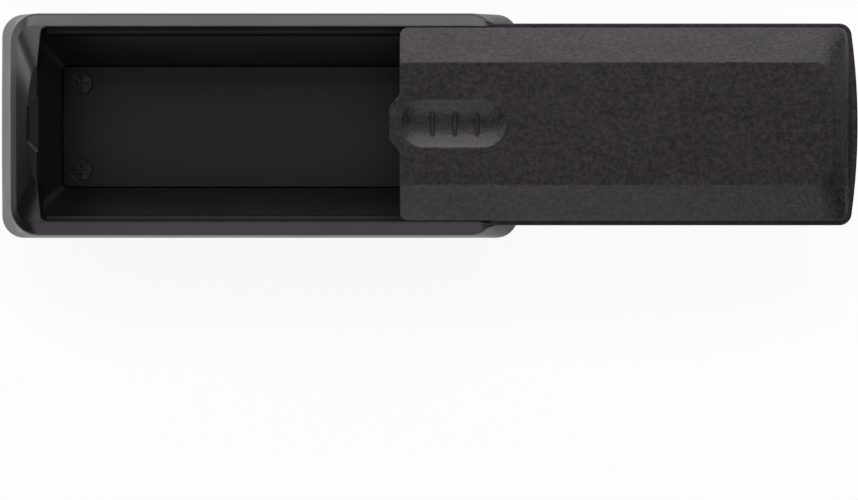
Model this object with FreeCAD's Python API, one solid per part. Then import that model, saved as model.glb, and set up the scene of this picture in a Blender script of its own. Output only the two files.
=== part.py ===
import FreeCAD
import Part
import math
import os

# Magnetic key holder box: a moulded case with a sliding lid, and two magnets under its floor.
# Millimetres. Origin at the centre of the back (mounting) face, +X the way the lid opens,
# +Y across the box, +Z from the back face towards the lid.

# ---------------------------------------------------------------- driving dimensions
CASE_LENGTH = 112.0
CASE_WIDTH = 48.4
CASE_HEIGHT = 24.0

BACK_LENGTH = 101.0          # flat back face, inside its edge break
BACK_WIDTH = 37.6
BACK_CORNER = 2.6
EDGE_BREAK = 0.8             # between the back face and the leaning lower walls
BELT_Z = 9.6                 # height of the widest line, where the two mould halves meet
BELT_CORNER = 4.8
RIM_OUTER_Z = 19.4           # outer edge of the sloping side rims, top of the steep end walls
RIM_OUTER_LENGTH = 101.6
RIM_OUTER_WIDTH = 46.4
RIM_OUTER_CORNER = 6.0
RIM_OUTER_ROUND = 1.6
RIM_INNER_Z = 21.3           # inner edge of the rims, level with the lid's sides
RIM_INNER_LENGTH = 97.8
RIM_INNER_WIDTH = 40.7
RIM_INNER_CORNER = 3.4
PLATEAU_LENGTH = 91.4        # flat top of the crown, shared by the fixed cap and the lid
PLATEAU_WIDTH = 25.0
PLATEAU_CORNER = 3.0
PLATEAU_BOW = 1.4            # how far the plateau's ends curve outwards
STRAIGHT = 0.15              # bow of an end that is all but straight

OPENING_WIDTH = 40.3         # between the lips of the side rims
LID_TRAVEL = 74.0            # how far the lid stands open in the modelled rest state
CAP_EDGE_X = -43.7           # right edge of the fixed cap, where the opening starts
LID_GAP = 0.3                # between the closed lid and the cap
LID_SIDE_GAP = 0.2
LID_BOTTOM_Z = 18.0
LID_RUN_GAP = 0.2            # above and below the lid's tongues
LID_CORNER = 1.6             # plan corners at the lid's left edge
LID_END_X = 50.9             # middle of the bowed right edge when the lid is closed
LID_END_BOW = 1.6
LID_END_CORNER = 1.5
LID_WALL = 2.0
LID_SKIRT = 1.9
TONGUE_DEPTH = 1.1           # the thin flange along the lid's sides and round its right end
TONGUE_HEIGHT = 1.5

THUMB_TAB_REACH = 2.1        # how far the thumb tab stands out over the cap
THUMB_TAB_BASE = 11.8
THUMB_TAB_TIP = 6.8
THUMB_TAB_THICKNESS = 0.7
THUMB_TAB_CORNER = 0.8
TAB_NOTCH_GAP = 0.25

SCOOP_CENTRE_X = -32.4
SCOOP_LENGTH = 21.6
SCOOP_WIDTH = 9.8
SCOOP_DEPTH = 1.9
SCOOP_FLOOR_THICKNESS = 1.4
SCOOP_PAD_MARGIN = 0.6       # how far the thick pad under the scoop reaches past it
RIB_COUNT = 3
RIB_PITCH = 4.6
RIB_CENTRE_X = -32.1
RIB_WIDTH = 0.9
RIB_LENGTH = 5.5
RIB_HEIGHT = 0.55            # above the deepest line of the scoop
RIB_CHAMFER = 0.22
RIB_ROOT = 0.4               # how far the ribs reach down into the scoop's floor

WELL_LENGTH = 97.2           # key compartment under the opening
WELL_WIDTH = 38.4
WELL_CORNER = 1.2
WELL_CHAMFER = 0.6           # plan width of the sloping edge round the compartment's mouth
WELL_CHAMFER_DROP = 0.35
WELL_SLOPE_Z = 13.2          # below this the compartment's walls lean in to its floor
FLOOR_Z = 7.0
FLOOR_LENGTH = 87.6
FLOOR_WIDTH = 26.8
FLOOR_CORNER = 0.8

RUNOUT_START_X = 44.4        # the side rims curve down from here to the low end wall
RUNOUT_LENGTH = 6.8
RUNOUT_RISE = 0.3            # the curve starts this far above the rims

BACK_WALL = 1.2
COVER_THICKNESS = 1.4
COVER_GAP = 0.2
COVER_PAD_LENGTH = 20.0      # pads under the cover that hold the magnets down
COVER_PAD_WIDTH = 12.0
BAY_LENGTH = 84.0
BAY_CORNER = 1.5
BAY_RIB = 1.2

MAGNET_LENGTH = 26.0
MAGNET_WIDTH = 17.0
MAGNET_HEIGHT = 4.2
MAGNET_CENTRE_X = 20.0
MAGNET_CHAMFER = 0.4
POLE_THICKNESS = 1.5
POLE_FOOT_LENGTH = 22.0
SLOT_GAP = 0.1               # round the feet of the pole plates
POCKET_GAP = 0.15

SCREW_X = 39.5
SCREW_Y = 9.5
SCREW_HEAD_R = 2.25
SCREW_HEAD_HEIGHT = 1.15
SCREW_THREAD_R = 1.15
SCREW_LENGTH = 4.9
SCREW_HOLE_GAP = 0.15
PILOT_R = 1.05
PILOT_FLOOR = 0.5            # left under each pilot hole, above the back wall
BOSS_R = 2.8
RECESS_WIDTH = 0.5
RECESS_LENGTH = 2.5
RECESS_DEPTH = 0.7

# ---------------------------------------------------------------- worked-out values
TOP_Z = CASE_HEIGHT
FAR = CASE_LENGTH            # reaches past the case in any direction
OVER = 1.0                   # how far a cutting shape runs past the face it cuts through
LID_LEFT_X = CAP_EDGE_X + LID_GAP
LID_HALF_WIDTH = OPENING_WIDTH / 2 - LID_SIDE_GAP
TONGUE_HALF_WIDTH = LID_HALF_WIDTH + TONGUE_DEPTH
LEDGE_Z = LID_BOTTOM_Z - LID_RUN_GAP
GROOVE_TOP_Z = LID_BOTTOM_Z + TONGUE_HEIGHT + LID_RUN_GAP
GROOVE_HALF_WIDTH = TONGUE_HALF_WIDTH + LID_SIDE_GAP
SEAT_Z = FLOOR_Z - COVER_THICKNESS
PLATE_TOP_Z = BACK_WALL + MAGNET_HEIGHT
BAY_WIDTH = MAGNET_WIDTH + 2 * (POLE_THICKNESS + POCKET_GAP + BAY_RIB)


# ---------------------------------------------------------------- shared shapes
def vector(x, y, z):
    return FreeCAD.Vector(x, y, z)


def block(x_low, x_high, y_low, y_high, z_low, z_high):
    return Part.makeBox(x_high - x_low, y_high - y_low, z_high - z_low, vector(x_low, y_low, z_low))


def outline(z, length, width, corner, bow):
    """Closed wire at height z: long straight sides, round corners and ends that bow outwards."""
    half_width = width / 2
    bow_radius = (half_width ** 2 + bow ** 2) / (2 * bow)
    bow_centre = length / 2 - bow_radius
    corner_y = half_width - corner
    corner_x = bow_centre + math.sqrt((bow_radius - corner) ** 2 - corner_y ** 2)
    bow_angle = math.atan2(corner_y, corner_x - bow_centre)
    touch_x = bow_centre + bow_radius * math.cos(bow_angle)
    touch_y = bow_radius * math.sin(bow_angle)
    middle_angle = (bow_angle + math.pi / 2) / 2
    middle_x = corner_x + corner * math.cos(middle_angle)
    middle_y = corner_y + corner * math.sin(middle_angle)

    def arc(start, middle, end):
        return Part.Arc(vector(*start, z), vector(*middle, z), vector(*end, z)).toShape()

    edges = []
    for side in (1, -1):
        # half the outline, counter-clockwise from the corner below an end to the next one above
        low = (side * corner_x, -side * half_width)
        low_touch = (side * touch_x, -side * touch_y)
        high_touch = (side * touch_x, side * touch_y)
        high = (side * corner_x, side * half_width)
        next_low = (-side * corner_x, side * half_width)
        edges.append(arc(low, (side * middle_x, -side * middle_y), low_touch))
        edges.append(arc(low_touch, (side * length / 2, 0), high_touch))
        edges.append(arc(high_touch, (side * middle_x, side * middle_y), high))
        edges.append(Part.makeLine(vector(*high, z), vector(*next_low, z)))
    return Part.Wire(edges)


def loft(*levels):
    """Solid with straight rulings between outlines given as (z, length, width, corner, bow)."""
    return Part.makeLoft([outline(*level) for level in levels], True, True)


def prism(level, top_z):
    """The outline of one level carried straight up to top_z."""
    return Part.Face(outline(*level)).extrude(vector(0, 0, top_z - level[0]))


def level_edges(shape, z):
    """Edges that lie flat at height z."""
    return [edge for edge in shape.Edges
            if abs(edge.BoundBox.ZMin - z) < 0.01 and abs(edge.BoundBox.ZMax - z) < 0.01]


def plate(points, z_low, z_high):
    """Polygon in plan, carried from z_low to z_high."""
    corners = [vector(x, y, z_low) for x, y in points]
    face = Part.Face(Part.makePolygon(corners + corners[:1]))
    return face.extrude(vector(0, 0, z_high - z_low))


def upright_edges(shape):
    return [edge for edge in shape.Edges
            if edge.BoundBox.XLength < 0.01 and edge.BoundBox.YLength < 0.01]


# ---------------------------------------------------------------- outer form
def box_form():
    """Outside of the closed box as one solid: bevelled back, belt, leaning ends and crown."""
    form = loft(
        (0.0, BACK_LENGTH, BACK_WIDTH, BACK_CORNER, STRAIGHT),
        (EDGE_BREAK, BACK_LENGTH + 2 * EDGE_BREAK, BACK_WIDTH + 2 * EDGE_BREAK,
         BACK_CORNER + EDGE_BREAK, STRAIGHT),
        (BELT_Z, CASE_LENGTH, CASE_WIDTH, BELT_CORNER, STRAIGHT),
        (RIM_OUTER_Z, RIM_OUTER_LENGTH, RIM_OUTER_WIDTH, RIM_OUTER_CORNER, STRAIGHT),
        (RIM_INNER_Z, RIM_INNER_LENGTH, RIM_INNER_WIDTH, RIM_INNER_CORNER, STRAIGHT),
        (TOP_Z, PLATEAU_LENGTH, PLATEAU_WIDTH, PLATEAU_CORNER, PLATEAU_BOW),
    )
    return form.makeFillet(RIM_OUTER_ROUND, level_edges(form, RIM_OUTER_Z))


def tab_plate(gap, z_low, z_high):
    """Thumb tab in plan: a tapering plate over the cap, grown by gap on its free sides."""
    tip_x = LID_LEFT_X - THUMB_TAB_REACH - gap
    base_y = THUMB_TAB_BASE / 2 + gap
    tip_y = THUMB_TAB_TIP / 2 + gap
    tab = plate([(LID_LEFT_X + OVER, base_y), (LID_LEFT_X, base_y), (tip_x, tip_y),
                 (tip_x, -tip_y), (LID_LEFT_X, -base_y), (LID_LEFT_X + OVER, -base_y)],
                z_low, z_high)
    tips = [edge for edge in upright_edges(tab) if abs(edge.CenterOfMass.x - tip_x) < 0.01]
    return tab.makeFillet(THUMB_TAB_CORNER + gap, tips)


# ---------------------------------------------------------------- case
def rail_runout():
    """Everything above the curve in which each side rim runs down to the low end wall."""
    start_z = RIM_INNER_Z + RUNOUT_RISE
    drop = start_z - LEDGE_Z
    radius = (RUNOUT_LENGTH ** 2 + drop ** 2) / (2 * drop)
    half_angle = math.asin(RUNOUT_LENGTH / radius) / 2
    start = vector(RUNOUT_START_X, -FAR, start_z)
    middle = vector(RUNOUT_START_X + radius * math.sin(half_angle), -FAR,
                    start_z - radius * (1 - math.cos(half_angle)))
    end = vector(RUNOUT_START_X + RUNOUT_LENGTH, -FAR, LEDGE_Z)
    far_low = vector(FAR, -FAR, LEDGE_Z)
    far_high = vector(FAR, -FAR, TOP_Z + OVER)
    near_high = vector(RUNOUT_START_X, -FAR, TOP_Z + OVER)
    profile = Part.Wire([
        Part.Arc(start, middle, end).toShape(),
        Part.makeLine(end, far_low),
        Part.makeLine(far_low, far_high),
        Part.makeLine(far_high, near_high),
        Part.makeLine(near_high, start),
    ])
    return Part.Face(profile).extrude(vector(0, 2 * FAR, 0))


def lid_channel():
    """Path of the lid through the case: the opening and a groove under each rim's lip."""
    opening = block(CAP_EDGE_X, FAR, -OPENING_WIDTH / 2, OPENING_WIDTH / 2, LEDGE_Z, TOP_Z + OVER)
    corners = [edge for edge in upright_edges(opening) if edge.CenterOfMass.x < 0]
    opening = opening.makeFillet(LID_CORNER - LID_GAP, corners)
    groove = block(CAP_EDGE_X, FAR, -GROOVE_HALF_WIDTH, GROOVE_HALF_WIDTH, LEDGE_Z, GROOVE_TOP_Z)
    return opening.fuse(groove)


def key_compartment():
    """Space for the keys: chamfered mouth, upright walls, then walls that lean in to the floor."""
    mouth = loft(
        (LEDGE_Z - WELL_CHAMFER_DROP, WELL_LENGTH, WELL_WIDTH, WELL_CORNER, STRAIGHT),
        (LEDGE_Z, WELL_LENGTH + 2 * WELL_CHAMFER, WELL_WIDTH + 2 * WELL_CHAMFER,
         WELL_CORNER + WELL_CHAMFER, STRAIGHT),
    ).common(block(CAP_EDGE_X, FAR, -FAR, FAR, 0, FAR))
    upper = (WELL_SLOPE_Z, WELL_LENGTH, WELL_WIDTH, WELL_CORNER, STRAIGHT)
    lower = (FLOOR_Z, FLOOR_LENGTH, FLOOR_WIDTH, FLOOR_CORNER, STRAIGHT)
    rebate = (SEAT_Z, FLOOR_LENGTH, FLOOR_WIDTH, FLOOR_CORNER, STRAIGHT)
    return prism(upper, GROOVE_TOP_Z).fuse([mouth, loft(lower, upper), prism(rebate, FLOOR_Z)])


def screw_spots():
    return [(x, y) for x in (-SCREW_X, SCREW_X) for y in (-SCREW_Y, SCREW_Y)]


def magnet_bay():
    """Bay under the floor, less the collars round the magnets and the screw bosses."""
    bay = block(-BAY_LENGTH / 2, BAY_LENGTH / 2, -BAY_WIDTH / 2, BAY_WIDTH / 2, BACK_WALL, SEAT_Z)
    bay = bay.makeFillet(BAY_CORNER, upright_edges(bay))
    pocket_x = MAGNET_LENGTH / 2 + POCKET_GAP
    pocket_y = MAGNET_WIDTH / 2 + POLE_THICKNESS + POCKET_GAP
    for centre in (-MAGNET_CENTRE_X, MAGNET_CENTRE_X):
        collar = block(centre - pocket_x - BAY_RIB, centre + pocket_x + BAY_RIB,
                       -FAR, FAR, BACK_WALL, SEAT_Z)
        pocket = block(centre - pocket_x, centre + pocket_x, -pocket_y, pocket_y, BACK_WALL, SEAT_Z)
        bay = bay.cut(collar.cut(pocket))
    for x, y in screw_spots():
        bay = bay.cut(Part.makeCylinder(BOSS_R, SEAT_Z - BACK_WALL, vector(x, y, BACK_WALL)))
    return bay


def pole_slots():
    """Slots in the back wall for the feet of the pole plates."""
    half_length = POLE_FOOT_LENGTH / 2 + SLOT_GAP
    half_width = POLE_THICKNESS / 2 + SLOT_GAP
    slots = []
    for centre in (-MAGNET_CENTRE_X, MAGNET_CENTRE_X):
        for side in (-1, 1):
            middle = side * (MAGNET_WIDTH + POLE_THICKNESS) / 2
            slots.append(block(centre - half_length, centre + half_length,
                               middle - half_width, middle + half_width, -OVER, BACK_WALL + OVER))
    return slots


def case_shell(form):
    """The moulded case with its fixed cap, side rims, key compartment and magnet bay."""
    notch = tab_plate(TAB_NOTCH_GAP, TOP_Z - THUMB_TAB_THICKNESS - LID_RUN_GAP, TOP_Z + OVER)
    pilots = [Part.makeCylinder(PILOT_R, FLOOR_Z, vector(x, y, BACK_WALL + PILOT_FLOOR))
              for x, y in screw_spots()]
    tools = [lid_channel(), rail_runout(), key_compartment(), magnet_bay(), notch]
    return form.cut(tools + pole_slots() + pilots)


# ---------------------------------------------------------------- lid
def thumb_scoop():
    """Long shallow scoop: a cylinder along the lid with a ball at each end."""
    half_width = SCOOP_WIDTH / 2
    radius = (half_width ** 2 + SCOOP_DEPTH ** 2) / (2 * SCOOP_DEPTH)
    axis_z = TOP_Z - SCOOP_DEPTH + radius
    straight = SCOOP_LENGTH - SCOOP_WIDTH
    left = vector(SCOOP_CENTRE_X - straight / 2, 0, axis_z)
    right = vector(SCOOP_CENTRE_X + straight / 2, 0, axis_z)
    trough = Part.makeCylinder(radius, straight, left, vector(1, 0, 0))
    return trough.fuse([Part.makeSphere(radius, left), Part.makeSphere(radius, right)])


def grip_ribs():
    """Short cross ribs in the scoop for the thumb nail."""
    low_z = TOP_Z - SCOOP_DEPTH - RIB_ROOT
    high_z = TOP_Z - SCOOP_DEPTH + RIB_HEIGHT
    ribs = []
    for index in range(RIB_COUNT):
        x = RIB_CENTRE_X + (index - (RIB_COUNT - 1) / 2) * RIB_PITCH
        rib = block(x - RIB_WIDTH / 2, x + RIB_WIDTH / 2,
                    -RIB_LENGTH / 2, RIB_LENGTH / 2, low_z, high_z)
        ribs.append(rib.makeChamfer(RIB_CHAMFER, level_edges(rib, high_z)))
    return ribs


def lid_hollow(form):
    """Underside of the lid: the crown carried down by the wall, with a pad under the scoop."""
    inner = form.copy()
    inner.translate(vector(0, 0, -LID_WALL))
    half_width = LID_HALF_WIDTH - LID_SKIRT
    room = block(LID_LEFT_X + LID_SKIRT, RIM_INNER_LENGTH / 2 - LID_SKIRT,
                 -half_width, half_width, LID_BOTTOM_Z - OVER, TOP_Z)
    pad_z = TOP_Z - SCOOP_DEPTH - SCOOP_FLOOR_THICKNESS
    pad_reach = SCOOP_LENGTH / 2 + SCOOP_PAD_MARGIN
    pad_half = SCOOP_WIDTH / 2 + SCOOP_PAD_MARGIN
    pad = block(SCOOP_CENTRE_X - pad_reach, SCOOP_CENTRE_X + pad_reach,
                -pad_half, pad_half, pad_z, TOP_Z)
    return inner.common(room).cut(pad)


def slide_lid(form):
    """Crowned lid with side tongues, bowed right end, thumb tab and ribbed scoop."""
    body = block(LID_LEFT_X, FAR, -LID_HALF_WIDTH, LID_HALF_WIDTH, LID_BOTTOM_Z, TOP_Z + OVER)
    left_corners = [edge for edge in upright_edges(body) if edge.CenterOfMass.x < 0]
    body = body.makeFillet(LID_CORNER, left_corners)
    bowed_end = (LID_BOTTOM_Z, 2 * LID_END_X, 2 * LID_HALF_WIDTH, LID_END_CORNER, LID_END_BOW)
    body = body.common(prism(bowed_end, TOP_Z + OVER)).common(form)
    flange = (LID_BOTTOM_Z, 2 * (LID_END_X + TONGUE_DEPTH), 2 * TONGUE_HALF_WIDTH,
              LID_END_CORNER + TONGUE_DEPTH, LID_END_BOW)
    tongue = prism(flange, LID_BOTTOM_Z + TONGUE_HEIGHT)
    tongue = tongue.cut(block(-FAR, LID_LEFT_X + LID_CORNER, -FAR, FAR, 0, FAR))
    tab = tab_plate(0.0, TOP_Z - THUMB_TAB_THICKNESS, TOP_Z)
    lid = body.fuse([tongue, tab]).cut([lid_hollow(form), thumb_scoop()]).fuse(grip_ribs())
    lid = lid.removeSplitter()
    lid.translate(vector(LID_TRAVEL, 0, 0))
    return lid


# ---------------------------------------------------------------- magnets and their cover
def magnet(centre):
    piece = block(centre - MAGNET_LENGTH / 2, centre + MAGNET_LENGTH / 2,
                  -MAGNET_WIDTH / 2, MAGNET_WIDTH / 2, BACK_WALL, PLATE_TOP_Z)
    return piece.makeChamfer(MAGNET_CHAMFER, piece.Edges)


def pole_plate(centre, side):
    """Steel plate beside a magnet: shoulders on the back wall, foot flush with the back face."""
    middle = side * (MAGNET_WIDTH + POLE_THICKNESS) / 2
    y_low = middle - POLE_THICKNESS / 2
    y_high = middle + POLE_THICKNESS / 2
    head = block(centre - MAGNET_LENGTH / 2, centre + MAGNET_LENGTH / 2,
                 y_low, y_high, BACK_WALL, PLATE_TOP_Z)
    foot = block(centre - POLE_FOOT_LENGTH / 2, centre + POLE_FOOT_LENGTH / 2,
                 y_low, y_high, 0, BACK_WALL)
    return head.fuse(foot).removeSplitter()


def magnet_cover():
    """Floor of the key compartment, screwed down over the magnets."""
    base = (SEAT_Z, FLOOR_LENGTH - 2 * COVER_GAP, FLOOR_WIDTH - 2 * COVER_GAP,
            FLOOR_CORNER - COVER_GAP, STRAIGHT)
    cover = prism(base, FLOOR_Z)
    for centre in (-MAGNET_CENTRE_X, MAGNET_CENTRE_X):
        pad = block(centre - COVER_PAD_LENGTH / 2, centre + COVER_PAD_LENGTH / 2,
                    -COVER_PAD_WIDTH / 2, COVER_PAD_WIDTH / 2, PLATE_TOP_Z, SEAT_Z)
        cover = cover.fuse(pad)
    hole_r = SCREW_THREAD_R + SCREW_HOLE_GAP
    sink_r = SCREW_HEAD_R + SCREW_HOLE_GAP
    for x, y in screw_spots():
        hole = Part.makeCylinder(hole_r, FAR, vector(x, y, SEAT_Z - OVER))
        sink = Part.makeCone(hole_r, sink_r, SCREW_HEAD_HEIGHT,
                             vector(x, y, FLOOR_Z - SCREW_HEAD_HEIGHT))
        cover = cover.cut([hole, sink])
    return cover.removeSplitter()


def cover_screw(x, y):
    """Countersunk self-tapping screw with a blunt end and a cross recess."""
    head = Part.makeCone(SCREW_THREAD_R, SCREW_HEAD_R, SCREW_HEAD_HEIGHT,
                         vector(x, y, FLOOR_Z - SCREW_HEAD_HEIGHT))
    shank = Part.makeCylinder(SCREW_THREAD_R, SCREW_LENGTH - SCREW_HEAD_HEIGHT,
                              vector(x, y, FLOOR_Z - SCREW_LENGTH))
    half = RECESS_LENGTH / 2
    thin = RECESS_WIDTH / 2
    recess_z = FLOOR_Z - RECESS_DEPTH
    cross = block(x - half, x + half, y - thin, y + thin, recess_z, FLOOR_Z + OVER)
    cross = cross.fuse(block(x - thin, x + thin, y - half, y + half, recess_z, FLOOR_Z + OVER))
    return head.fuse(shank).removeSplitter().cut(cross)


# ---------------------------------------------------------------- write the parts
def all_parts():
    form = box_form()
    parts = {
        "case_shell": case_shell(form),
        "slide_lid": slide_lid(form),
        "magnet_cover": magnet_cover(),
    }
    for name, centre in (("left", -MAGNET_CENTRE_X), ("right", MAGNET_CENTRE_X)):
        parts["magnet_" + name] = magnet(centre)
        parts["pole_plate_" + name + "_upper"] = pole_plate(centre, 1)
        parts["pole_plate_" + name + "_lower"] = pole_plate(centre, -1)
    for number, (x, y) in enumerate(screw_spots(), start=1):
        parts["cover_screw_" + str(number)] = cover_screw(x, y)
    return parts


os.makedirs("parts", exist_ok=True)
for node, shape in all_parts().items():
    print(node, "solids", len(shape.Solids), "valid", shape.isValid(),
          "volume", round(shape.Volume, 1), "box", shape.optimalBoundingBox())
    shape.Solids[0].exportStep(os.path.join("parts", node + ".step"))
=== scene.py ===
# %% [markdown]
# # A magnetic key box in black moulded plastic
#
# This lesson finishes a small box that holds spare keys against a steel panel. Its case, its
# crowned sliding lid and the magnets under its floor are already modelled as solids. Here they
# get their surfaces, their light and a camera.
#
# A black object is mostly seen by what it reflects, so most of the lesson is about two things:
# how rough each moulded face is, and where the soft lights stand.

import math

import bpy
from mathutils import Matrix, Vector


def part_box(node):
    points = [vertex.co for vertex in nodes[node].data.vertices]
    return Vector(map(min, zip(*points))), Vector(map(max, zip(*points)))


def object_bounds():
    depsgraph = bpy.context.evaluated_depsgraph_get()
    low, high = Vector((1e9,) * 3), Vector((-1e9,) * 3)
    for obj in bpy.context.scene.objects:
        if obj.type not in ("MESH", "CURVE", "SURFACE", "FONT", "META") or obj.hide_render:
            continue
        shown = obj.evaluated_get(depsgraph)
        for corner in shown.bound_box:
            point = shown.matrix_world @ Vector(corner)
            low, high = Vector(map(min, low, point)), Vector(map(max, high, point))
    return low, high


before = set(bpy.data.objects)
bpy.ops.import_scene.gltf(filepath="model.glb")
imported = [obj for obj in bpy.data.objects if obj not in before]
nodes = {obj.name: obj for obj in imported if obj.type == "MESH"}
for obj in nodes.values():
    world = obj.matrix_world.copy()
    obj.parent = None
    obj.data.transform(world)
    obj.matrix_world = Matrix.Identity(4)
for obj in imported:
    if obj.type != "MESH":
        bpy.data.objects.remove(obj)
cad_low, cad_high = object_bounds()
MM = 0.001
print("pieces:", sorted(nodes))
print("box in mm:", [round(side / MM, 1) for side in cad_high - cad_low])

# %% [markdown]
# ## The camera
#
# The box is looked at from straight above. A long lens far away would flatten it. A camera
# about a hand's length above the rim shows a little of the inner walls, and the high faces
# spread outwards. The field of view is worked out from how wide a strip, at the height of the
# rim, fills the frame. The lens is shifted a little, so that the box stands high in the frame
# and its sides are still seen evenly.

# %% Place the camera
CAMERA_ABOVE_RIM = 250 * MM
RIM_BELOW_TOP = 4.6 * MM
FIELD_WIDTH = 179 * MM
CAMERA_X = 36.6 * MM
CAMERA_Y = -10.0 * MM
FRAME_CENTRE_Y = -26.2 * MM
SENSOR_WIDTH = 36.0
NEAREST_SEEN = 10 * MM
FURTHEST_SEEN = 10.0

case_low, case_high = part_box("case_shell")
rim_z = case_high.z - RIM_BELOW_TOP

camera_data = bpy.data.cameras.new("camera")
camera_data.sensor_width = SENSOR_WIDTH
camera_data.lens = SENSOR_WIDTH * CAMERA_ABOVE_RIM / FIELD_WIDTH
camera_data.shift_y = (FRAME_CENTRE_Y - CAMERA_Y) / FIELD_WIDTH
camera_data.clip_start = NEAREST_SEEN
camera_data.clip_end = FURTHEST_SEEN
camera = bpy.data.objects.new("camera", camera_data)
camera.location = (CAMERA_X, CAMERA_Y, rim_z + CAMERA_ABOVE_RIM)
bpy.context.scene.collection.objects.link(camera)
bpy.context.scene.camera = camera
print("lens in mm:", round(camera_data.lens, 1))

# %% [markdown]
# ## Materials and their nodes
#
# A finish is a small graph: its nodes work out a value for each point of a surface, and a shader
# turns the values into a look. The graph could be drawn by hand in the shader editor. In code,
# two small functions save most of the typing, and each material reads as a list of what its
# surface has.

# %% New materials and new nodes
def new_material(name):
    """A material, its node tree and the shader in it."""
    material = bpy.data.materials.new(name)
    material.use_nodes = True
    return material, material.node_tree, material.node_tree.nodes["Principled BSDF"]


def add(tree, kind, **values):
    """A new node, with its settings."""
    node = tree.nodes.new(kind)
    for name, value in values.items():
        setattr(node, name, value)
    return node


print("can make materials and nodes")

# %% [markdown]
# ## Noise, and what it changes
#
# No moulded, pressed or rolled surface is quite even. A picture of one could give its grain, but
# it has to be wrapped round the piece and blurs close up. Noise is worked out at each point, so
# it needs no wrapping and is sharp at any size. A ramp then turns it into a roughness, or into
# the share of one of two colours.

# %% Noise, ranges and colours
def noise(tree, size, detail=2.0, roughness=0.5, stretch=(1, 1, 1)):
    """Noise whose blobs are about size metres across, fixed to the object."""
    place = add(tree, "ShaderNodeTexCoord")
    scale = add(tree, "ShaderNodeMapping")
    scale.inputs["Scale"].default_value = stretch
    texture = add(tree, "ShaderNodeTexNoise")
    texture.inputs["Scale"].default_value = 1 / size
    texture.inputs["Detail"].default_value = detail
    texture.inputs["Roughness"].default_value = roughness
    tree.links.new(place.outputs["Object"], scale.inputs["Vector"])
    tree.links.new(scale.outputs["Vector"], texture.inputs["Vector"])
    return texture.outputs["Fac"]


def spread(tree, source, low, high, start=0.3, end=0.7):
    """Maps values between start and end to values between low and high."""
    ramp = add(tree, "ShaderNodeMapRange")
    ramp.inputs["From Min"].default_value = start
    ramp.inputs["From Max"].default_value = end
    ramp.inputs["To Min"].default_value = low
    ramp.inputs["To Max"].default_value = high
    tree.links.new(source, ramp.inputs["Value"])
    return ramp.outputs["Result"]


def blend_colours(tree, share, first, second):
    """Goes from the first colour to the second. Each is three numbers or another node's colour."""
    mix = add(tree, "ShaderNodeMix", data_type="RGBA")
    for socket, colour in (("A", first), ("B", second)):
        if isinstance(colour, bpy.types.NodeSocket):
            tree.links.new(colour, mix.inputs[socket])
        else:
            mix.inputs[socket].default_value = (*colour, 1)
    tree.links.new(share, mix.inputs["Factor"])
    return mix.outputs["Result"]


print("can make noise, ranges and blended colours")

# %% [markdown]
# ## Bumps and soft edges
#
# The grain of a surface and the tiny rounding of a moulded edge could be modelled, with millions
# of faces. Both are finer than the eye can follow as a shape, and only their shine is seen. So
# the faces stay as they are and the way they catch light is tilted.

# %% Bumps and soft edges
BEVEL_SAMPLES = 6


def bump(tree, height, depth, under=None):
    """Tilts the surface as if height, from 0 to 1, stood depth metres deep."""
    node = add(tree, "ShaderNodeBump")
    node.inputs["Strength"].default_value = 1.0
    node.inputs["Distance"].default_value = depth
    tree.links.new(height, node.inputs["Height"])
    if under is not None:
        tree.links.new(under, node.inputs["Normal"])
    return node.outputs["Normal"]


def soft_edges(tree, radius):
    """A normal that rounds every edge by a small radius, as a mould does."""
    node = add(tree, "ShaderNodeBevel", samples=BEVEL_SAMPLES)
    node.inputs["Radius"].default_value = radius
    return node.outputs["Normal"]


print("can make bumps and soft edges")

# %% [markdown]
# ## Black moulded plastic
#
# The case, the lid and the floor are the same black plastic, but their moulds were finished
# differently. Three materials could be written out one by one. One function makes all three,
# from a colour, a roughness and a grain, so they stay alike in what they share: the colour is
# slightly mottled, the gloss is a little uneven where hands have been, and every edge is
# softened as it is in a mould.

# %% A function for moulded plastic
EDGE_SOFTNESS = 0.45 * MM
BLOTCH_SIZE = 0.9 * MM
SMEAR_SIZE = 5 * MM
PLASTIC_GLOSS = 0.36
PLASTIC_TINT = (1.0, 0.94, 1.0, 1)


def moulded_plastic(name, colour, roughness, grain_size, grain_depth, wear, mottle):
    """Wear is how far the roughness varies, and mottle by what share the colour does."""
    material, tree, shader = new_material(name)

    blotches = noise(tree, BLOTCH_SIZE, detail=5, roughness=0.65)
    darker = [part * (1 - mottle) for part in colour]
    lighter = [part * (1 + mottle) for part in colour]
    share = spread(tree, blotches, 0, 1, start=0.35, end=0.65)
    tree.links.new(blend_colours(tree, share, darker, lighter), shader.inputs["Base Color"])

    smears = noise(tree, SMEAR_SIZE, detail=4, stretch=(0.35, 1, 1))
    rough = spread(tree, smears, roughness - wear, roughness + wear)
    tree.links.new(rough, shader.inputs["Roughness"])

    grain = noise(tree, grain_size, detail=2)
    edges = soft_edges(tree, EDGE_SOFTNESS)
    tree.links.new(bump(tree, grain, grain_depth, under=edges), shader.inputs["Normal"])

    shader.inputs["Specular IOR Level"].default_value = PLASTIC_GLOSS
    shader.inputs["Specular Tint"].default_value = PLASTIC_TINT
    return material, tree, shader


print("can make moulded plastic")

# %% [markdown]
# ## Places on a piece
#
# Some finishes change in one place only: a duller edge round the compartment, or a grey patch
# that a thumb has rubbed and that is also painted light. A second material could be given to
# those faces, but its border would follow the faces and be a hard line. Here the place is a box
# in the object's own coordinates, so it can lie anywhere and moves with the piece. A point's
# distance from the middle of that box, counted in half sides, says whether the point is in it.

# %% Where a point is in a box
def calculate(tree, operation, *values):
    """A Math node. Each value is a number or another node's output."""
    node = add(tree, "ShaderNodeMath", operation=operation)
    for socket, value in zip(node.inputs, values):
        if isinstance(value, bpy.types.NodeSocket):
            tree.links.new(value, socket)
        else:
            socket.default_value = value
    return node.outputs["Value"]


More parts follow.
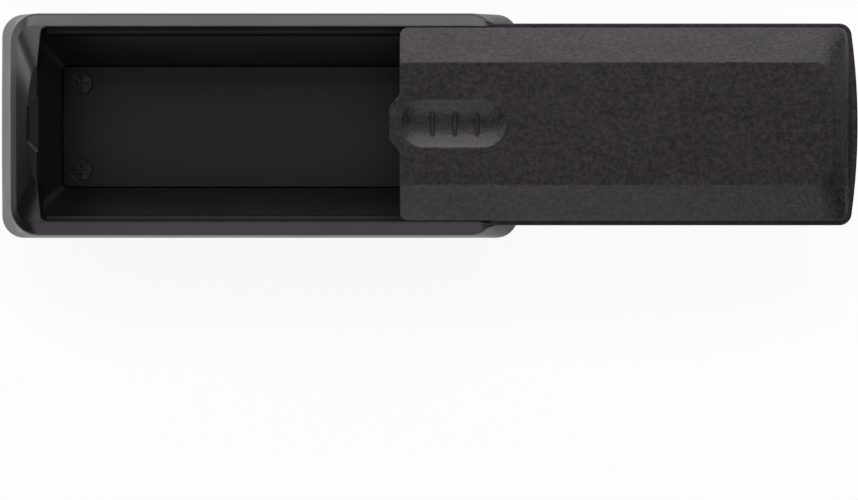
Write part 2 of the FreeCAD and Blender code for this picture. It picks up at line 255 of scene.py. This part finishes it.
def from_middle(tree, low, high):
    """How far a point is from the middle of a box, with half of each side as the unit."""
    place = add(tree, "ShaderNodeTexCoord")
    shift = add(tree, "ShaderNodeVectorMath", operation="SUBTRACT")
    shift.inputs[1].default_value = (Vector(low) + Vector(high)) / 2
    share = add(tree, "ShaderNodeVectorMath", operation="DIVIDE")
    share.inputs[1].default_value = (Vector(high) - Vector(low)) / 2
    tree.links.new(place.outputs["Object"], shift.inputs[0])
    tree.links.new(shift.outputs["Vector"], share.inputs[0])
    return share.outputs["Vector"]


def sizes_of_parts(tree, vector):
    """The x, y and z of a vector, without their signs."""
    unsigned = add(tree, "ShaderNodeVectorMath", operation="ABSOLUTE")
    parts = add(tree, "ShaderNodeSeparateXYZ")
    tree.links.new(vector, unsigned.inputs[0])
    tree.links.new(unsigned.outputs["Vector"], parts.inputs["Vector"])
    return parts.outputs["X"], parts.outputs["Y"], parts.outputs["Z"]


def inside_box(tree, low, high):
    """1 inside the box and 0 outside it."""
    x, y, z = sizes_of_parts(tree, from_middle(tree, low, high))
    furthest = calculate(tree, "MAXIMUM", calculate(tree, "MAXIMUM", x, y), z)
    return calculate(tree, "LESS_THAN", furthest, 1.0)


print("can tell whether a point is in a box")

# %% [markdown]
# ## The case
#
# The rims and ends of the case came from a smooth steel mould, so they are satin and show long
# soft highlights. The corners of the compartment and the narrow slope round its mouth were
# blended by hand in the mould and never polished. They are duller than the walls, which keeps
# bright lines out of them. The steep outer sides are a little dull too, so that the table
# doesn't show in them as a bright band.
#
# Each of these places follows from the size of the case, as a distance in from its ends and its
# long sides. One box in another makes a ring. The corners are found by how they face, because
# they are narrow and curved.

# %% Places on the case
BEYOND = -5 * MM

_, cover_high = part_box("magnet_cover")
lid_low, lid_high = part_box("slide_lid")


def case_box(from_ends, from_sides, low_z, high_z):
    """A low and a high corner, both so far in from the ends and the long sides of the case."""
    return ((case_low.x + from_ends, case_low.y + from_sides, low_z),
            (case_high.x - from_ends, case_high.y - from_sides, high_z))


below, above = case_low.z + BEYOND, case_high.z - BEYOND

compartment = case_box(from_ends=6.7 * MM, from_sides=4.7 * MM,
                       low_z=cover_high.z - 1.8 * MM, high_z=rim_z)
mouth_slope = case_box(from_ends=6.7 * MM, from_sides=3.6 * MM,
                       low_z=lid_low.z - 0.8 * MM, high_z=lid_low.z + 0.1 * MM)
between_slopes = case_box(from_ends=BEYOND, from_sides=5.1 * MM, low_z=below, high_z=above)
below_rims = case_box(from_ends=BEYOND, from_sides=BEYOND, low_z=below, high_z=rim_z - 0.5 * MM)
within_sides = case_box(from_ends=5.7 * MM, from_sides=1.5 * MM, low_z=below, high_z=above)
print("slope round the mouth, z in mm:", [round(z / MM, 1) for _, _, z in mouth_slope])

# %% Rings and turned corners
def between_boxes(tree, outer, inner):
    """1 inside the outer box and outside the inner one. Each is a low and a high corner."""
    return calculate(tree, "GREATER_THAN", inside_box(tree, *outer), inside_box(tree, *inner))


def turned_corners(tree, low, high):
    """1 where an upright corner turns from one side to the next, inside the box.

    A flat side faces along x or y only. Where a face points both ways, it is in a corner.
    """
    facing = add(tree, "ShaderNodeTexCoord").outputs["Normal"]
    x, y, _ = sizes_of_parts(tree, facing)
    turned = spread(tree, calculate(tree, "MULTIPLY", x, y), 0, 1, start=0.0, end=0.08)
    return calculate(tree, "MULTIPLY", turned, inside_box(tree, low, high))


print("can find rings and turned corners")

# %% Satin plastic for the case
CASE_BLACK = (0.0046, 0.0034, 0.0047)
CASE_ROUGHNESS = 0.29
BLENDED_ROUGHNESS = 0.8
SIDE_ROUGHNESS = 0.38


def satin_case_plastic():
    """Satin on the rims and the walls, duller in the blended places and on the outer sides."""
    material, tree, shader = moulded_plastic(
        "satin_case_plastic", CASE_BLACK, CASE_ROUGHNESS,
        grain_size=0.5 * MM, grain_depth=0.004 * MM, wear=0.02, mottle=0.12)

    blended = calculate(tree, "MAXIMUM", turned_corners(tree, *compartment),
                        between_boxes(tree, mouth_slope, between_slopes))
    sides = between_boxes(tree, below_rims, within_sides)
    rough = shader.inputs["Roughness"].links[0].from_socket
    for share, roughness in ((blended, BLENDED_ROUGHNESS), (sides, SIDE_ROUGHNESS)):
        rough = calculate(tree, "MULTIPLY_ADD", share, roughness - CASE_ROUGHNESS, rough)
    tree.links.new(rough, shader.inputs["Roughness"])
    return material


case_plastic = satin_case_plastic()
print("made", case_plastic.name)

# %% [markdown]
# ## The lid
#
# The lid's mould was etched, so the lid is covered in a fine even grain that breaks highlights
# up. A deep bump gives that, with more mottle than on the case, because each speck of grain
# holds its own light. Thumbs push against the near side of the recess, where the black is
# painted slightly grey. That grey is partly rubbing and partly painted light, which lifts the
# shaded middle of the recess. It fades out towards its edge, so this place is round and soft.

# %% Grained plastic for the lid
LID_BLACK = (0.0139, 0.0114, 0.0139)
PAINTED_LIGHT_AND_RUBBED_GREY = (0.0243, 0.0214, 0.0243)
PAINTED_LIGHT_AND_RUBBED_SHARE = 0.45
PAINTED_LIGHT_AND_RUB_LENGTH = 26 * MM
PAINTED_LIGHT_AND_RUB_NEAR_Y = -5.9 * MM
PAINTED_LIGHT_AND_RUB_FAR_Y = 0.9 * MM
BELOW_LID = 1 * MM
ABOVE_LID = 4 * MM

thumb_rest_and_painted_light = ((lid_low.x, PAINTED_LIGHT_AND_RUB_NEAR_Y, lid_low.z - BELOW_LID),
              (lid_low.x + PAINTED_LIGHT_AND_RUB_LENGTH, PAINTED_LIGHT_AND_RUB_FAR_Y, lid_high.z + ABOVE_LID))


def painted_light_and_rub_patch(tree, low, high):
    """1 in the middle of a rounded patch, fading to 0 where it touches the box's sides."""
    distance = add(tree, "ShaderNodeVectorMath", operation="LENGTH")
    tree.links.new(from_middle(tree, low, high), distance.inputs[0])
    return spread(tree, distance.outputs["Value"], 1, 0, start=0.7, end=1.0)


def grained_lid_plastic():
    """Etched all over, and grey where thumbs push: partly rubbed, partly painted light in the
    recess.
    """
    material, tree, shader = moulded_plastic(
        "grained_lid_plastic", LID_BLACK, roughness=0.42,
        grain_size=0.5 * MM, grain_depth=0.08 * MM, wear=0.06, mottle=0.8)

    black = shader.inputs["Base Color"].links[0].from_socket
    # Painted light: a paler grey in the recess lifts its shaded middle, and also stands for
    # rubbing.
    worn_and_painted_light = calculate(tree, "MULTIPLY", painted_light_and_rub_patch(tree, *thumb_rest_and_painted_light), PAINTED_LIGHT_AND_RUBBED_SHARE)
    tree.links.new(blend_colours(tree, worn_and_painted_light, black, PAINTED_LIGHT_AND_RUBBED_GREY), shader.inputs["Base Color"])
    return material


lid_plastic = grained_lid_plastic()
print("made", lid_plastic.name)

# %% [markdown]
# ## The floor of the compartment
#
# The floor is a separate plate that closes the magnets in. It could share the case's plastic,
# but keys slide over it, so it is duller than the case, with a faint scuffed grain. Its black is
# also a little darker than the case's, as painted shade in the compartment.

# %% Matt plastic for the floor
# Painted shade: the floor's black is darker than the case's, to darken the compartment.
FLOOR_BLACK_PAINTED_SHADE = (0.0032, 0.0026, 0.0033)

cover_plastic, _, _ = moulded_plastic(
    "matt_floor_plastic", FLOOR_BLACK_PAINTED_SHADE, roughness=0.5,
    grain_size=0.6 * MM, grain_depth=0.01 * MM, wear=0.05, mottle=0.2)
print("made", cover_plastic.name)

# %% [markdown]
# ## Pressed ferrite
#
# The magnets are pressed ceramic: dark grey, dull and slightly gritty. One noise gives the tone,
# the roughness and the bump together, so a grain that stands out is also paler and rougher.
# Three separate noises would look like stains on a bumpy surface.

# %% Ferrite
DARK_FERRITE = (0.030, 0.030, 0.033)
PALE_FERRITE = (0.065, 0.064, 0.066)


def ferrite_material():
    """Dull and gritty ceramic."""
    material, tree, shader = new_material("pressed_ferrite")
    grit = noise(tree, size=0.7 * MM, detail=5, roughness=0.7)
    tone = blend_colours(tree, spread(tree, grit, 0, 1), DARK_FERRITE, PALE_FERRITE)
    tree.links.new(tone, shader.inputs["Base Color"])
    tree.links.new(spread(tree, grit, low=0.55, high=0.8), shader.inputs["Roughness"])
    tree.links.new(bump(tree, grit, depth=0.05 * MM), shader.inputs["Normal"])
    return material


ferrite = ferrite_material()
print("made", ferrite.name)

# %% [markdown]
# ## Rolled steel
#
# The pole plates beside the magnets are cut from rolled strip, so fine lines run along them. An
# anisotropic shader would stretch the highlights in the same way. Noise that is stretched along
# the plate shows the lines themselves, which are seen from close by on a part as small as this.

# %% Steel
STAINED_STEEL = (0.42, 0.41, 0.40)
CLEAN_STEEL = (0.62, 0.62, 0.63)


def steel_material():
    """Bare metal, with lines from the rolling and a few stains."""
    material, tree, shader = new_material("rolled_steel")
    lines = noise(tree, size=0.5 * MM, detail=4, stretch=(0.04, 1, 1))
    stains = noise(tree, size=6 * MM, detail=4)
    tone = blend_colours(tree, spread(tree, stains, 0, 1), STAINED_STEEL, CLEAN_STEEL)
    tree.links.new(tone, shader.inputs["Base Color"])
    tree.links.new(spread(tree, lines, low=0.25, high=0.45), shader.inputs["Roughness"])
    edges = soft_edges(tree, radius=0.1 * MM)
    tree.links.new(bump(tree, lines, depth=0.01 * MM, under=edges), shader.inputs["Normal"])
    shader.inputs["Metallic"].default_value = 1.0
    return material


steel = steel_material()
print("made", steel.name)

# %% [markdown]
# ## Blackened screws
#
# The screws that hold the floor are small and blackened, with a thin oily shine. The black is a
# film on the metal, so the shader stays a metal with a dark colour. A dark plastic would lose
# the metal's shine.

# %% Blackened steel
THICK_BLACK = (0.032, 0.031, 0.033)
THIN_BLACK = (0.078, 0.075, 0.071)


def screw_material():
    """Metal under a black film that is thin in places."""
    material, tree, shader = new_material("blackened_steel")
    film = noise(tree, size=1.2 * MM, detail=4)
    tone = blend_colours(tree, spread(tree, film, 0, 1), THICK_BLACK, THIN_BLACK)
    tree.links.new(tone, shader.inputs["Base Color"])
    tree.links.new(spread(tree, film, low=0.28, high=0.42), shader.inputs["Roughness"])
    tree.links.new(soft_edges(tree, radius=0.08 * MM), shader.inputs["Normal"])
    shader.inputs["Metallic"].default_value = 1.0
    return material


blackened = screw_material()
print("made", blackened.name)

# %% [markdown]
# ## Dress the pieces
#
# Each solid has one material slot. Its name tells what it is made of, so the start of the name
# is enough to choose the finish, and like pieces can't end up with different ones.

# %% Give each piece its material
FINISHES = {
    "case_shell": case_plastic,
    "slide_lid": lid_plastic,
    "magnet_cover": cover_plastic,
    "magnet_left": ferrite,
    "magnet_right": ferrite,
    "pole_plate": steel,
    "cover_screw": blackened,
}

for name, piece in nodes.items():
    finish = next(finish for start, finish in FINISHES.items() if name.startswith(start))
    piece.material_slots[0].material = finish
    print(name, "->", finish.name)

# %% [markdown]
# ## The table
#
# The box lies on a white sheet. Under a light that suits a black box the sheet comes out pale
# grey. More light would turn it white, and would spoil the blacks. So what the camera sees of
# the sheet is lifted almost to white, and so is what gloss shows of it. The light that the sheet
# throws back onto the box stays as it is, and so does the soft shadow on the sheet.

# %% A white sheet
SHEET_COLOUR = (0.86, 0.86, 0.87, 1)
SHEET_ROUGHNESS = 0.9
SHEET_GLOSS = 0.1
SHEET_WHITE = 0.90


def white_share(tree, seen, mirrored):
    """The share of plain white for the camera's own rays, and for those off gloss or glass."""
    path = add(tree, "ShaderNodeLightPath").outputs
    bounced = calculate(tree, "MAXIMUM", path["Is Glossy Ray"], path["Is Transmission Ray"])
    weaker = calculate(tree, "MULTIPLY", bounced, mirrored)
    return calculate(tree, "MULTIPLY_ADD", path["Is Camera Ray"], seen, weaker)


def white_sheet_material():
    """Matt paper, mixed with plain white where it is looked at."""
    material, tree, shader = new_material("white_sheet")
    shader.inputs["Base Color"].default_value = SHEET_COLOUR
    shader.inputs["Roughness"].default_value = SHEET_ROUGHNESS
    shader.inputs["Specular IOR Level"].default_value = SHEET_GLOSS
    white = add(tree, "ShaderNodeEmission")
    white.inputs["Strength"].default_value = 1.0
    mix = add(tree, "ShaderNodeMixShader")
    tree.links.new(white_share(tree, SHEET_WHITE, SHEET_WHITE), mix.inputs["Fac"])
    tree.links.new(shader.outputs["BSDF"], mix.inputs[1])
    tree.links.new(white.outputs["Emission"], mix.inputs[2])
    tree.links.new(mix.outputs["Shader"], tree.nodes["Material Output"].inputs["Surface"])
    return material


sheet_paper = white_sheet_material()
print("made", sheet_paper.name)

# %% Lay the sheet
SHEET_HALF = 0.6
SHEET_BELOW_BOX = 0.05 * MM

bpy.ops.mesh.primitive_plane_add(size=2 * SHEET_HALF)
sheet = bpy.context.object
sheet.name = "table_sheet"
sheet.data.materials.append(sheet_paper)
sheet.location.z = cad_low.z - SHEET_BELOW_BOX
print("sheet", 2 * SHEET_HALF, "m wide")

# %% [markdown]
# ## The lights
#
# Point lamps would show in the black plastic as hard spots. Soft boxes show as broad tones. They
# are written here by how bright they look, because a black surface shows their brightness
# directly. The power that gives a brightness follows from the size of the box.
#
# Seen from above, each face mirrors one height in the room. The rims of the case mirror it
# low, 15 to 20 degrees up, the bevels of the lid at 45 to 50, and the flat top mirrors the dim
# ceiling. So a low box and a high box stand behind, and a weaker pair stands in front, and the
# tone of each face can be set without the others. A small box beyond each end lights the far
# half of the end bevels.

# %% Soft boxes behind and in front
middle = (cad_low + cad_high) / 2


def soft_box(name, x, y, z, width, height, brightness):
    """A lamp with a plain bright face, turned towards the middle of the box. Sizes in metres."""
    data = bpy.data.lights.new(name, "AREA")
    data.shape = "RECTANGLE"
    data.size = width
    data.size_y = height
    data.energy = brightness * math.pi * width * height
    light = bpy.data.objects.new(name, data)
    light.location = (x, y, z)
    aim = middle - light.location
    light.rotation_mode = "QUATERNION"
    light.rotation_quaternion = aim.to_track_quat("-Z", "Y")
    light.visible_camera = False
    bpy.context.scene.collection.objects.link(light)
    print(name, "power in W:", round(data.energy, 2))


soft_box("low_back_box", middle.x, y=0.60, z=0.14, width=1.1, height=0.26, brightness=4.2)
soft_box("high_back_box", middle.x, y=0.42, z=0.42, width=1.1, height=0.22, brightness=3.5)
soft_box("low_front_box", middle.x, y=-0.62, z=0.19, width=0.9, height=0.24, brightness=1.7)
soft_box("high_front_box", middle.x, y=-0.40, z=0.45, width=0.9, height=0.20, brightness=1.8)

# %% Soft boxes at the ends
END_DISTANCE = 0.40

for name, x, brightness in (("left_end_box", cad_low.x - END_DISTANCE, 3.9),
                            ("right_end_box", cad_high.x + END_DISTANCE, 0.4)):
    soft_box(name, x, y=0.16, z=0.09, width=0.30, height=0.14, brightness=brightness)

# %% [markdown]
# ## Dark cards at the ends
#
# The end bevels lean far enough to mirror the white sheet, which would turn them grey. In a
# studio a dark card stands beyond each end of a black object for that reason. Here the cards
# take part in reflections only, so they throw no shadow and aren't seen. They stop a little
# behind the middle of the box, so the far half of each end bevel still catches the light.

# %% Stand the cards
CARD_DISTANCE = 50 * MM
CARD_HEIGHT = 120 * MM
CARD_NEAR_Y = -160 * MM
CARD_FAR_Y = 16 * MM
CARD_COLOUR = (0.02, 0.02, 0.02, 1)
CARD_ROUGHNESS = 0.9

card_material, _, shader = new_material("dark_card")
shader.inputs["Base Color"].default_value = CARD_COLOUR
shader.inputs["Roughness"].default_value = CARD_ROUGHNESS


def dark_card(name, x):
    """An upright card across the end of the box, from its near side to a little past its middle."""
    corners = [(x, CARD_NEAR_Y, cad_low.z), (x, CARD_FAR_Y, cad_low.z),
               (x, CARD_FAR_Y, CARD_HEIGHT), (x, CARD_NEAR_Y, CARD_HEIGHT)]
    mesh = bpy.data.meshes.new(name)
    mesh.from_pydata(corners, [], [(0, 1, 2, 3)])
    mesh.materials.append(card_material)
    card = bpy.data.objects.new(name, mesh)
    card.visible_camera = False
    card.visible_diffuse = False
    card.visible_shadow = False
    bpy.context.scene.collection.objects.link(card)


dark_card("left_card", cad_low.x - CARD_DISTANCE)
dark_card("right_card", cad_high.x + CARD_DISTANCE)
print("cards", round(CARD_DISTANCE / MM), "mm beyond each end")

# %% [markdown]
# ## The room
#
# The room gives a dim even light, which fills the faces that no soft box reaches. Where the
# camera looks past the sheet it sees a white wall, so there is no dark horizon from the side.
# A backdrop behind the box would do that from one side only.

# %% Room light
ROOM_COLOUR = (0.9, 0.9, 0.92, 1)
ROOM_BRIGHTNESS = 0.31
ROOM_SEEN = 1.0
ROOM_MIRRORED = 0.16
WALL_COLOUR = (1, 1, 1, 1)


def room_light():
    """A dim even room for the box, and a white wall where it is looked at."""
    world = bpy.data.worlds.new("room")
    world.use_nodes = True
    tree = world.node_tree
    dim_room = tree.nodes["Background"]
    dim_room.inputs["Color"].default_value = ROOM_COLOUR
    dim_room.inputs["Strength"].default_value = ROOM_BRIGHTNESS
    white_wall = add(tree, "ShaderNodeBackground")
    white_wall.inputs["Color"].default_value = WALL_COLOUR
    mix = add(tree, "ShaderNodeMixShader")
    tree.links.new(white_share(tree, ROOM_SEEN, ROOM_MIRRORED), mix.inputs["Fac"])
    tree.links.new(dim_room.outputs["Background"], mix.inputs[1])
    tree.links.new(white_wall.outputs["Background"], mix.inputs[2])
    tree.links.new(mix.outputs["Shader"], tree.nodes["World Output"].inputs["Surface"])
    return world


bpy.context.scene.world = room_light()
bpy.context.scene.view_settings.view_transform = "Standard"
print("room light", ROOM_BRIGHTNESS)
